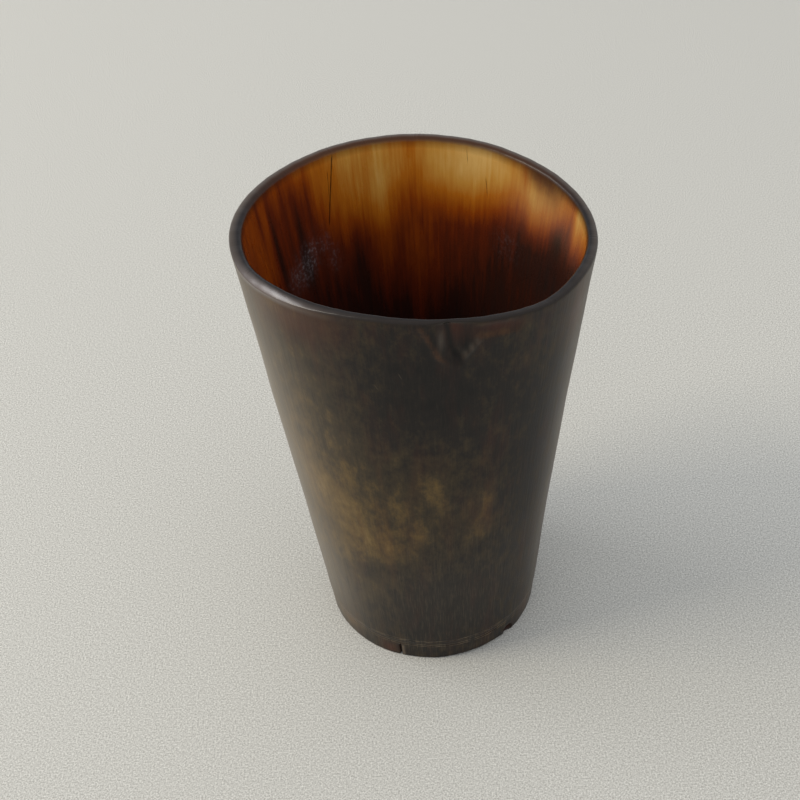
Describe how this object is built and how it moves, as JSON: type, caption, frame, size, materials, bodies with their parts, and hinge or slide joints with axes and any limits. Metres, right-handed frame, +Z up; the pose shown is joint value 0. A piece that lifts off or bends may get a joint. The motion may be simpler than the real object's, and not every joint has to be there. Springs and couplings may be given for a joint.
{
  "type": "horn drinking cup",
  "caption": "Tapered drinking cup of dark cattle horn, slightly oval, with a worn uneven rim, scribed lines above the foot and a horn disc sprung into a groove as its base.",
  "frame": {"origin": "centre of the foot, on the surface that the cup stands on", "axes": "+Z up, from the foot to the rim; +X to the right and -Y towards someone who sees the cup as in the picture"},
  "size_m": [0.0746, 0.0694, 0.1123],
  "materials": {
    "horn": "satin and dark outside, glossy amber inside",
    "horn_base": "satin",
    "wax": "dull"
  },
  "bodies": {
    "root": {"horn_wall": "horn", "base_disc": "horn_base", "base_seal": "wax"}
  },
  "joints": []
}
